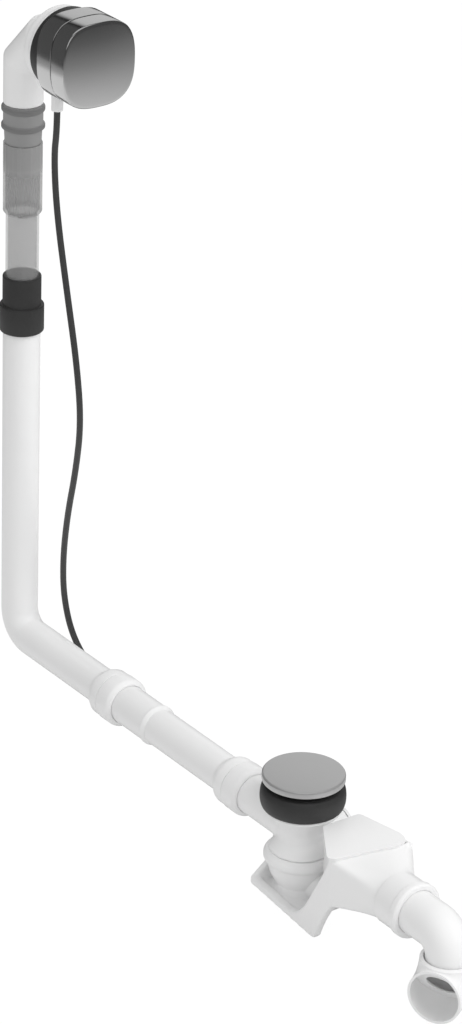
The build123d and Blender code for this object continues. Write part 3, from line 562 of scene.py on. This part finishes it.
def soften(piece, edge):
    """Rounds the sharp edges of a piece and shades the rest smooth."""
    bevel = piece.modifiers.new("soft edge", "BEVEL")
    bevel.width = edge
    bevel.segments = 3
    bevel.limit_method = "ANGLE"
    bevel.angle_limit = math.radians(EDGE_ANGLE)
    bevel.use_clamp_overlap = True
    apply_modifiers(piece)
    bpy.ops.object.shade_smooth_by_angle(angle=math.radians(SMOOTH_ANGLE))
    return piece


def moulded(node, name, grain, rounds, added=None):
    """A copy of a moulded CAD node, with a form added to it, its edges and corners melted round."""
    piece = copy_node(node, name)
    if added:
        only(piece)
        added.select_set(True)
        bpy.ops.object.join()
    grid = piece.modifiers.new("grid", "REMESH")
    grid.mode = "VOXEL"
    grid.voxel_size = grain * MM
    melt = piece.modifiers.new("melt", "SMOOTH")
    melt.factor = 0.5
    melt.iterations = rounds
    apply_modifiers(piece)
    bpy.ops.object.shade_smooth()
    return piece


def hand_over(piece, node):
    """The finished piece stands for its CAD node, on the same body and in the same material slot."""
    piece.data.materials.clear()
    piece.data.materials.append(FINISHES[SLOTS[node]])
    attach(piece, BODIES[node])
    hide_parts(node)
    return piece


def add_piece(piece, body, slot):
    """A piece that stands for no CAD node, on a body and in a material slot."""
    piece.data.materials.clear()
    piece.data.materials.append(FINISHES[slot])
    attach(piece, body)


FINISHES = {}                # the finish of each material slot
SLOTS = {s["node"]: s["material_slot"] for s in frame["record"]["subparts"]}
BODIES = {node: body for body, nodes in frame["record"]["behaviour"]["bodies"].items() for node in nodes}


# Settings

class WasteSizes(bpy.types.PropertyGroup):
    cable: bpy.props.FloatProperty(
        name="Cable", description="Diameter of the cable's sheath",
        default=5.5 * MM, unit="LENGTH", precision=5)
    knob_edge: bpy.props.FloatProperty(
        name="Knob edge", description="Rounding of the knob's face edge",
        default=1.6 * MM, unit="LENGTH", precision=5)
    knob_crown: bpy.props.FloatProperty(
        name="Knob crown", description="How far the knob's face is domed",
        default=3.0 * MM, unit="LENGTH", precision=5)
    floor: bpy.props.FloatProperty(
        name="Floor", description="Side of the floor", default=9.0, unit="LENGTH")


class WasteColours(bpy.types.PropertyGroup):
    white: bpy.props.FloatVectorProperty(
        name="White", description="White moulded plastic", default=(0.86, 0.86, 0.86), subtype="COLOR")
    clear: bpy.props.FloatVectorProperty(
        name="Clear", description="Translucent tube", default=(0.38, 0.38, 0.38), subtype="COLOR")
    black: bpy.props.FloatVectorProperty(
        name="Black", description="Black rubber", default=(0.032, 0.032, 0.032), subtype="COLOR")
    grey: bpy.props.FloatVectorProperty(
        name="Grey", description="Grey lip seal", default=(0.29, 0.29, 0.29), subtype="COLOR")
    chrome: bpy.props.FloatVectorProperty(
        name="Chrome", description="Chrome plate", default=(0.6, 0.6, 0.6), subtype="COLOR")
    satin: bpy.props.FloatVectorProperty(
        name="Satin", description="Satin chrome of plug and seat", default=(0.5, 0.5, 0.5), subtype="COLOR")
    steel: bpy.props.FloatVectorProperty(
        name="Steel", description="Steel spindle and shaft", default=(0.5, 0.5, 0.5), subtype="COLOR")
    brass: bpy.props.FloatVectorProperty(
        name="Brass", description="Brass stem and nut", default=(0.62, 0.46, 0.2), subtype="COLOR")
    cable: bpy.props.FloatVectorProperty(
        name="Cable", description="Cable sheath", default=(0.045, 0.045, 0.045), subtype="COLOR")


def sizes():
    return bpy.context.scene.waste_sizes


def colours():
    return bpy.context.scene.waste_colours


# Operators

class WASTE_OT_finishes(bpy.types.Operator):
    """Makes the finishes and gives each CAD node its own"""
    bl_idname = "waste.finishes"
    bl_label = "Finishes"

    def execute(self, context):
        c = colours()
        FINISHES.update({
            "white_plastic": plastic_finish("white plastic", c.white, rough=0.34),
            "clear_plastic": clear_finish("clear plastic", c.clear, body=0.34),
            "grey_rubber": seal_finish("grey rubber", c.grey),
            "black_rubber": rubber_finish("black rubber", c.black),
            "polished_chrome": metal_finish("polished chrome", c.chrome, rough=0.12, spread=0.04),
            "satin_chrome": metal_finish("satin chrome", c.satin, rough=0.34, spread=0.06, mirror=0.55),
            "steel": metal_finish("steel", c.steel, rough=0.28, spread=0.1),
            "brass": metal_finish("brass", c.brass, rough=0.3, spread=0.1),
            "cable_sheath": plastic_finish("cable sheath", c.cable, rough=0.42),
        })
        for name, node in frame["nodes"].items():
            node.data.materials.clear()
            node.data.materials.append(FINISHES[SLOTS[name]])
        return {"FINISHED"}


class WASTE_OT_head(bpy.types.Operator):
    """Overflow elbow with its cup, the gasket and the rosette"""
    bl_idname = "waste.head"
    bl_label = "Overflow head"

    def execute(self, context):
        hand_over(moulded("overflow_elbow", "head_elbow", grain=1.1, rounds=5), "overflow_elbow")
        back = WALL_X - 10
        gasket = [(back, 27, 0), (back, 35, 1.0), (WALL_X, 35, 1.0), (WALL_X, 27, 0)]
        hand_over(turned("head_gasket", gasket, HEAD, ALONG), "overflow_gasket")
        hand_over(self.rosette(), "overflow_rosette")
        return {"FINISHED"}

    def rosette(self):
        """Chrome ring with the water inlet cut into its underside."""
        bore, hollow = round_outline(27), round_outline(31)
        rear_edge, front_edge, floor = 0.6, 0.8, WALL_X + 3
        rings = [(WALL_X, *bore), (WALL_X, *knob_outline(rear_edge)), *rounded_edge(WALL_X, rear_edge, -1),
                 *rounded_edge(ROSETTE_X, front_edge, 1), (ROSETTE_X, *hollow), (floor, *hollow),
                 (floor, *bore), (WALL_X, *bore)]
        ring = squared("head_rosette", rings)
        middle = Vector(((WALL_X + ROSETTE_X) / 2, 0, OVERFLOW_Z - 30))
        deselect()
        bpy.ops.mesh.primitive_cube_add(size=1, location=middle * MM, scale=(10 * MM, 30 * MM, 20 * MM))
        slot = started("inlet_cutter")
        open_mesh(slot)
        pick_edges(slot, lambda a, b: abs(a.z - b.z) > 0.5)
        bpy.ops.mesh.bevel(offset=4.9 * MM, segments=8)
        close_mesh(slot)
        cut = ring.modifiers.new("inlet", "BOOLEAN")
        cut.object = slot
        cut.solver = "EXACT"
        apply_modifiers(ring)
        bpy.data.objects.remove(slot)
        only(ring)
        bpy.ops.object.shade_smooth_by_angle(angle=math.radians(SMOOTH_ANGLE))
        return ring


class WASTE_OT_knob(bpy.types.Operator):
    """Turning knob: a rounded square with a slightly crowned face"""
    bl_idname = "waste.knob"
    bl_label = "Knob"

    def execute(self, context):
        edge = sizes().knob_edge / MM
        rear_edge, face_rings = 0.8, 20
        rings = [(KNOB_REAR_X, *round_outline(8)), (KNOB_REAR_X, *knob_outline(rear_edge)),
                 *rounded_edge(KNOB_REAR_X, rear_edge, -1), *rounded_edge(KNOB_FRONT_X, edge, 1)]
        wide, tall, square = knob_outline(edge)
        for i in range(face_rings - 1, 0, -1):
            rings.append((KNOB_FRONT_X, wide * i / face_rings, tall * i / face_rings, square))
        knob = squared("overflow_knob", rings, point=True)
        self.crown(knob, KNOB_FRONT_X - edge)
        hand_over(knob, "turn_knob")
        return {"FINISHED"}

    def crown(self, knob, start):
        """Domes the face, so that its middle stands out further than its rim."""
        open_mesh(knob)
        mesh = bmesh.from_edit_mesh(knob.data)
        for vertex in mesh.verts:
            if vertex.co.x > start * MM - 1e-6:
                out = math.hypot(vertex.co.y, vertex.co.z - OVERFLOW_Z * MM) / (KNOB_TALL * MM)
                vertex.co.x += sizes().knob_crown * (1 - out ** 2)
        bmesh.update_edit_mesh(knob.data)
        close_mesh(knob, ROUND_ANGLE)


class WASTE_OT_standpipe(bpy.types.Operator):
    """Grey lip seal, translucent telescopic tube and black rubber coupling"""
    bl_idname = "waste.standpipe"
    bl_label = "Standpipe"

    def execute(self, context):
        bead_r, neck_r = 18.35, 16.75
        seal = [(450.5, 12, 0), (450.5, neck_r, 0.4),
                (449.1, neck_r, 0.3), (448.3, bead_r, 0.9), (444.7, bead_r, 0.9), (443.9, neck_r, 0.3),
                (433.6, neck_r, 0.3), (432.8, bead_r, 0.9), (429.2, bead_r, 0.9), (428.4, 16.0, 0.3),
                (416.1, 15.4, 0.2), (416.1, SOCKET_R, 0), (394, SOCKET_R, 0), (394, 12, 0)]
        tube_r, bore_r = 14.1, 12.3
        tube = [(170, tube_r, 0.4), (352, tube_r, 0.6), (355, 16.5, 0.8), (416, 16.5, 0.5),
                (416, SOCKET_R, 0.3), (357, SOCKET_R, 0.5), (353, bore_r, 0.3), (170, bore_r, 0.3)]
        grip_r, seat_r = 14.15, 16.02
        coupling = [(296, grip_r, 0), (296, 16.5, 1.0), (270, 16.5, 0.4), (270, 19, 1.2), (246, 19, 1.2),
                    (246, seat_r, 0), (264, seat_r, 0), (264, grip_r, 0)]
        hand_over(turned("lip_seal", seal, STAND, UP), "elbow_seal")
        hand_over(turned("slide_tube", tube, STAND, UP), "telescopic_tube")
        hand_over(turned("rubber_coupling", coupling, STAND, UP), "pipe_coupling")
        return {"FINISHED"}


class WASTE_OT_run(bpy.types.Operator):
    """Overflow pipe with its foot bend, the connecting pipe, their unions and the sleeve"""
    bl_idname = "waste.run"
    bl_label = "Horizontal run"

    def execute(self, context):
        flare_x, link_flare_x = -283.0, -102.0
        hand_over(self.foot(flare_x), "overflow_pipe")
        hand_over(turned("pipe_union", self.nut(flare_x), RUN, ALONG), "pipe_nut")
        hand_over(turned("inlet_union", self.nut(link_flare_x), RUN, ALONG), "inlet_nut")
        sleeve_r = 17.2
        sleeve = [(-275, PIPE_R, 0), (-275, sleeve_r, 0.3), (-205, sleeve_r, 0.3), (-204, 18.1, 0.4),
                  (-202.5, 18.1, 0.5), (-199, 16.4, 0.3), (-199, PIPE_R, 0)]
        hand_over(turned("run_sleeve", sleeve, RUN, ALONG), "slide_sleeve")
        bore_r = 14.5
        link = [(-253, bore_r, 0), (-253, PIPE_R, 0.3), (link_flare_x, PIPE_R, 1.0), (-99, 16.8, 1.0),
                (-95, 20.2, 1.2), (-92, FLARE_R, 0.8), (-83, FLARE_R, 0.6), (-83, THREAD_R, 0.2),
                (-71, THREAD_R, 0.4), (-71, sleeve_r, 0), (-96, sleeve_r, 0), (-96, bore_r, 0)]
        hand_over(turned("link_pipe", link, RUN, ALONG), "connecting_pipe")
        return {"FINISHED"}

    def foot(self, flare_x):
        """The standpipe's lower part, its foot bend and its flared, threaded end."""
        top, foot_bend = 264, 22
        pipe = pipe_start("foot_pipe", PIPE_R, (STAND_X, 0, top), UP)
        draw_out((0, 0, RUN_Z + foot_bend - top))
        bend((STAND_X + foot_bend, 0, RUN_Z + foot_bend), SIDE, angle=-90, steps=16)
        draw_out((flare_x - STAND_X - foot_bend, 0, 0))
        size, along = PIPE_R, flare_x
        for step, radius in ((2.6, 16.5), (2.4, 18.0), (2.6, 20.2), (2.4, FLARE_R), (8.4, FLARE_R),
                             (0.6, 20.6), (0.0, THREAD_R), (12.0, THREAD_R)):
            draw_out((step, 0, 0))
            along += step
            widen(radius / size, (along, 0, RUN_Z))
            size = radius
        return pipe_end(pipe, wall=1.5, edge=0.3)

    def nut(self, flare_x):
        """Outline of the union nut over a flare that starts at a place along X."""
        first = flare_x + 19.6
        last = first + 17.5
        outer_r, lip_r = 21.7, 17.4
        return [(first, THREAD_R, 0), (first, outer_r, 0.8), (last - 3.5, outer_r, 1.2), (last, 19, 1.0),
                (last, lip_r, 0.2), (last - 3, lip_r, 0), (last - 3, THREAD_R, 0)]


class WASTE_OT_drain_seat(bpy.types.Operator):
    """Waste body and its black seal"""
    bl_idname = "waste.drain_seat"
    bl_label = "Waste and seal"

    def execute(self, context):
        hand_over(moulded("waste_body", "waste_moulding", grain=1.1, rounds=5), "waste_body")
        bore_r, low = 25.05, -19
        seal = [(0, bore_r, 0.2), (0, 33, 1.2), (-3.5, 34.6, 2), (-10.4, 35.3, 3), (-16, 34.5, 2),
                (low, 33, 1.0), (low, bore_r, 0.2)]
        hand_over(turned("floor_seal", seal, WASTE, UP, steps=120), "waste_seal")
        return {"FINISHED"}


class WASTE_OT_plug(bpy.types.Operator):
    """Satin cap of the pop-up plug"""
    bl_idname = "waste.plug"
    bl_label = "Plug"

    def execute(self, context):
        cap = [(11, 0, 0), (10.8, 33, 0.6), (9.8, 34, 0.6), (5, 34, 0.6), (5, 31.4, 0.3), (8.8, 31.8, 0.4),
               (8.8, 0, 0)]
        hand_over(turned("plug_top", cap, WASTE, UP, steps=128), "plug_cap")
        return {"FINISHED"}


class WASTE_OT_trap(bpy.types.Operator):
    """Low trap, the bowl's rounded underside, the chamber's lid and the round union nut"""
    bl_idname = "waste.trap"
    bl_label = "Trap"

    def execute(self, context):
        # The front corner of the weir chamber's wall, which the CAD node leaves open behind its notch
        corner = [(60, -20.5, 0), (76, -31, 0), (78.5, -31, 0), (78.5, -27, 0), (62, -17, 0)]
        wall = plate("chamber_corner", corner, top=-22, thick=18, taper=1.0, edge=0.2)
        hand_over(moulded("trap_body", "trap_moulding", grain=1.1, rounds=14, added=wall), "trap_body")
        lid = [(36, -7, 2), (75.5, -33, 2), (81.5, -32.5, 4), (94, 32, 9), (84, 40, 8), (36, 30, 3)]
        hand_over(plate("weir_lid", lid, top=-19.4, thick=6.5, taper=0.93, edge=0.8), "trap_lid")
        bowl = [(-69, 16, 0), (-69, 27, 1), (-77, 26, 4), (-89, 20.5, 6), (-98, 12, 3), (-98, 8, 0)]
        add_piece(turned("trap_bowl", bowl, WASTE, UP), "root", "white_plastic")
        lip_r, bore_r = 16.7, 20.05
        nut = [(-59, lip_r, 0), (-59, 27, 1.5), (-62, 30.4, 2), (-67, 30.4, 2), (-70, 27, 1.5),
               (-70, bore_r, 0), (-62, bore_r, 0), (-62, lip_r, 0)]
        hand_over(turned("trap_union", nut, WASTE, UP), "trap_nut")
        return {"FINISHED"}


class WASTE_OT_drain(bpy.types.Operator):
    """Drain union, the elbow and the swivelling mouth"""
    bl_idname = "waste.drain"
    bl_label = "Drain bends"

    def execute(self, context):
        thread_r, body_r, rim_r, lip_r = 21.25, 22.6, 23.8, 18.8
        nut = [(124, thread_r, 0), (124, 21.8, 0.3), (124.8, body_r, 0.3), (143.5, body_r, 0.2),
               (144.7, rim_r, 0.4), (149.5, rim_r, 0.8), (151, 22.3, 0.5), (151, lip_r, 0.2),
               (148, lip_r, 0), (148, thread_r, 0)]
        hand_over(turned("drain_union", nut, OUTLET, ALONG), "drain_nut")
        hand_over(self.elbow(), "drain_elbow")
        heading = Vector((math.cos(MOUTH_TURN), math.sin(MOUTH_TURN), 0))
        collar_r, shoulder = 20.2, 1.3
        mouth = pipe_start("drain_spout", collar_r, (DROP_X, 0, MOUTH_TOP_Z), UP)
        draw_out((0, 0, -shoulder))
        start = Vector((DROP_X, 0, MOUTH_TOP_Z - shoulder))
        widen(MOUTH_R / collar_r, start)
        corner = start + heading * MOUTH_BEND
        bend(corner, (heading.y, -heading.x, 0), angle=90, steps=18)
        draw_out(heading * 0.5)
        hand_over(pipe_end(mouth, wall=2.1, edge=0.6), "drain_mouth")
        self.stop(corner, heading)
        return {"FINISHED"}

    def elbow(self):
        """The bend from the trap's outlet down into the mouth's collar."""
        first = 123
        elbow = pipe_start("drain_bend", DRAIN_R, (first, 0, OUTLET_Z), ALONG)
        draw_out((DROP_X - DRAIN_BEND - first, 0, 0))
        bend((DROP_X - DRAIN_BEND, 0, OUTLET_Z - DRAIN_BEND), SIDE, angle=90, steps=14)
        draw_out((0, 0, -6))
        return pipe_end(elbow, wall=2.2, edge=0.5)

    def stop(self, corner, heading):
        """Ring inside the last bend, against which the drain pipe stops."""
        down = -Vector(UP)
        turn = math.radians(54)
        middle = corner + (down * math.sin(turn) - heading * math.cos(turn)) * MOUTH_BEND
        along = heading * math.sin(turn) + down * math.cos(turn)
        hole_r, outer_r = 13, 21
        ring = [(-1, hole_r, 0.4), (-1, outer_r, 0), (1, outer_r, 0), (1, hole_r, 0.4)]
        add_piece(turned("mouth_stop", ring, middle, along), "mouth", "white_plastic")


class WASTE_OT_cable(bpy.types.Operator):
    """Lays the control cable along its route"""
    bl_idname = "waste.cable"
    bl_label = "Control cable"

    def execute(self, context):
        curve = bpy.data.curves.new("control_cable_route", "CURVE")
        curve.dimensions = "3D"
        curve.resolution_u = 12
        spline = curve.splines.new("NURBS")
        spline.points.add(len(CABLE_ROUTE) - 1)
        for point, place in zip(spline.points, CABLE_ROUTE):
            point.co = (*(v * MM for v in place), 1.0)
        spline.order_u = 3
        spline.use_endpoint_u = True
        cable = bpy.data.objects.new("cable_tube", curve)
        context.scene.collection.objects.link(cable)
        line = bpy.data.meshes.new_from_object(cable)
        curve.bevel_depth = sizes().cable / 2
        curve.bevel_resolution = 6
        curve.use_fill_caps = True
        only(cable)
        bpy.ops.object.convert(target="MESH")
        bpy.ops.object.shade_smooth_by_angle(angle=math.radians(ROUND_ANGLE))
        cable.data.materials.clear()
        cable.data.materials.append(FINISHES["cable_sheath"])
        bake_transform(cable)
        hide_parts("control_cable")
        return {"FINISHED"}


class WASTE_OT_stage(bpy.types.Operator):
    """Sets up the floor, the studio light and the camera"""
    bl_idname = "waste.stage"
    bl_label = "Stage"

    def execute(self, context):
        self.floor()
        self.world(context)
        self.lamps()
        self.camera(context)
        context.scene.view_settings.view_transform = "Standard"
        return {"FINISHED"}

    def floor(self):
        """Pale floor that takes a faint shadow and that metal looks through, to the studio."""
        deselect()
        bpy.ops.mesh.primitive_plane_add(size=sizes().floor, location=(0, 0, cad_box[0][2] - 0.001))
        plane = started("floor")
        f = new_finish("floor")
        seen = f.node("ShaderNodeLightPath", output="Is Camera Ray")
        glossy = f.node("ShaderNodeLightPath", output="Is Glossy Ray")
        paper = f.node("ShaderNodeBsdfDiffuse", None, {"Color": (0.8, 0.8, 0.8, 1.0)})
        glow = f.node("ShaderNodeEmission", None, {"Color": (1, 1, 1, 1), "Strength": 0.97})
        shade = f.node("ShaderNodeBsdfDiffuse", None, {"Color": (0.06, 0.06, 0.06, 1.0)})
        pale = f.node("ShaderNodeAddShader", None, {0: glow, 1: shade})
        clear = f.node("ShaderNodeBsdfTransparent")
        stand = f.node("ShaderNodeMixShader", None, {0: glossy, 1: paper, 2: clear})
        f.close(f.node("ShaderNodeMixShader", None, {0: seen, 1: stand, 2: pale}))
        plane.data.materials.append(f.owner)

    def world(self, context):
        """White to the camera, even light on the object, and a studio of screens for gloss."""
        world = bpy.data.worlds.new("studio")
        context.scene.world = world
        f = Finish(world)
        direct, through, glossy = (f.node("ShaderNodeLightPath", output=f"Is {kind} Ray")
                                   for kind in ("Camera", "Transmission", "Glossy"))
        seen = direct.maths("MAXIMUM", direct, through)
        toward = f.node("ShaderNodeTexCoord", output="Generated")
        parts = (f.node("ShaderNodeSeparateXYZ", None, {0: toward}, output=axis) for axis in "XYZ")
        x, y, z = (f.span(part, -1, 1) for part in parts)
        front = f.ramp(z, [(0.0, 0.8), (0.17, 0.8), (0.2, 0.765), (0.27, 0.54), (0.34, 0.3), (0.41, 0.15),
                           (0.475, 0.08), (1.0, 0.08)])
        back = f.ramp(z, [(0.0, 0.86), (0.313, 0.86), (0.335, 0.1), (1.0, 0.08)])
        limit = f.ramp(y, [(0.0, 1.0), (0.56, 1.0), (0.64, 0.15), (0.79, 0.15), (0.86, 0.7), (1.0, 0.7)])
        side = f.ramp(x, [(0.0, 0.0), (0.4, 0.0), (0.6, 1.0), (1.0, 1.0)])
        dome = f.blend(side, back * limit, front)
        beside = f.node("ShaderNodeVectorMath", {"operation": "DOT_PRODUCT"},
                        {0: toward, 1: (-0.62, 0.69, 0.37)}, output="Value")
        screen = f.ramp(beside, [(0.0, 0.0), (0.88, 0.0), (0.94, 0.66), (1.0, 0.72)])
        ceiling = f.ramp(z, [(0.0, 0.0), (0.91, 0.0), (0.95, 0.62), (1.0, 0.62)])
        studio = f.lightest(f.lightest(dome, screen), ceiling)
        plain = f.node("ShaderNodeBackground", None, {"Color": (1, 1, 1, 1), "Strength": 0.745})
        mirror = f.node("ShaderNodeBackground", None, {"Color": studio, "Strength": 1.0})
        white = f.node("ShaderNodeBackground", None, {"Color": (1, 1, 1, 1), "Strength": 1.0})
        lit = f.node("ShaderNodeMixShader", None, {0: glossy, 1: plain, 2: mirror})
        f.close(f.node("ShaderNodeMixShader", None, {0: seen, 1: lit, 2: white}), "ShaderNodeOutputWorld")

    def lamps(self):
        for name, toward, power, size in LAMPS:
            data = bpy.data.lights.new(name, "AREA")
            data.energy = power
            data.size = size
            lamp = bpy.data.objects.new(name, data)
            bpy.context.scene.collection.objects.link(lamp)
            away = Vector(toward).normalized()
            lamp.location = Vector(LIT_PLACE) + away * LAMP_REACH
            lamp.rotation_euler = away.to_track_quat("Z", "Y").to_euler()
            lamp.visible_glossy = name == "fill"

    def camera(self, context):
        """The camera that was fitted to the photograph."""
        azimuth, elevation, roll = (math.radians(angle) for angle in (AZIMUTH, ELEVATION, ROLL))
        back = Vector((math.sin(azimuth) * math.cos(elevation), -math.cos(azimuth) * math.cos(elevation),
                       math.sin(elevation)))
        flat = Vector((math.cos(azimuth), math.sin(azimuth), 0))
        rise = back.cross(flat)
        right = math.cos(roll) * flat - math.sin(roll) * rise
        up = math.sin(roll) * flat + math.cos(roll) * rise
        data = bpy.data.cameras.new("camera")
        data.lens = FOCAL / PHOTO_TALL * data.sensor_width
        data.clip_end = 50
        camera = bpy.data.objects.new("camera", data)
        context.scene.collection.objects.link(camera)
        turn = Matrix((right, up, back)).transposed().to_4x4()
        camera.matrix_world = Matrix.Translation(Vector(TARGET) + back * DISTANCE) @ turn
        context.scene.camera = camera


class WASTE_PT_panel(bpy.types.Panel):
    bl_label = "Bath waste and overflow"
    bl_idname = "WASTE_PT_panel"
    bl_space_type = "VIEW_3D"
    bl_region_type = "UI"
    bl_category = "Waste"

    def draw(self, context):
        for step in STEPS:
            self.layout.operator(step.bl_idname)


STEPS = (WASTE_OT_finishes, WASTE_OT_cable, WASTE_OT_head, WASTE_OT_knob, WASTE_OT_standpipe, WASTE_OT_run,
         WASTE_OT_drain_seat, WASTE_OT_plug, WASTE_OT_trap, WASTE_OT_drain, WASTE_OT_stage)
CLASSES = (WasteSizes, WasteColours, *STEPS, WASTE_PT_panel)


def register():
    for cls in CLASSES:
        bpy.utils.register_class(cls)
    bpy.types.Scene.waste_sizes = bpy.props.PointerProperty(type=WasteSizes)
    bpy.types.Scene.waste_colours = bpy.props.PointerProperty(type=WasteColours)


def unregister():
    del bpy.types.Scene.waste_colours
    del bpy.types.Scene.waste_sizes
    for cls in reversed(CLASSES):
        bpy.utils.unregister_class(cls)


def main():
    register()
    for step in STEPS:
        group, name = step.bl_idname.split(".")
        getattr(getattr(bpy.ops, group), name)()


if __name__ == "__main__":
    main()
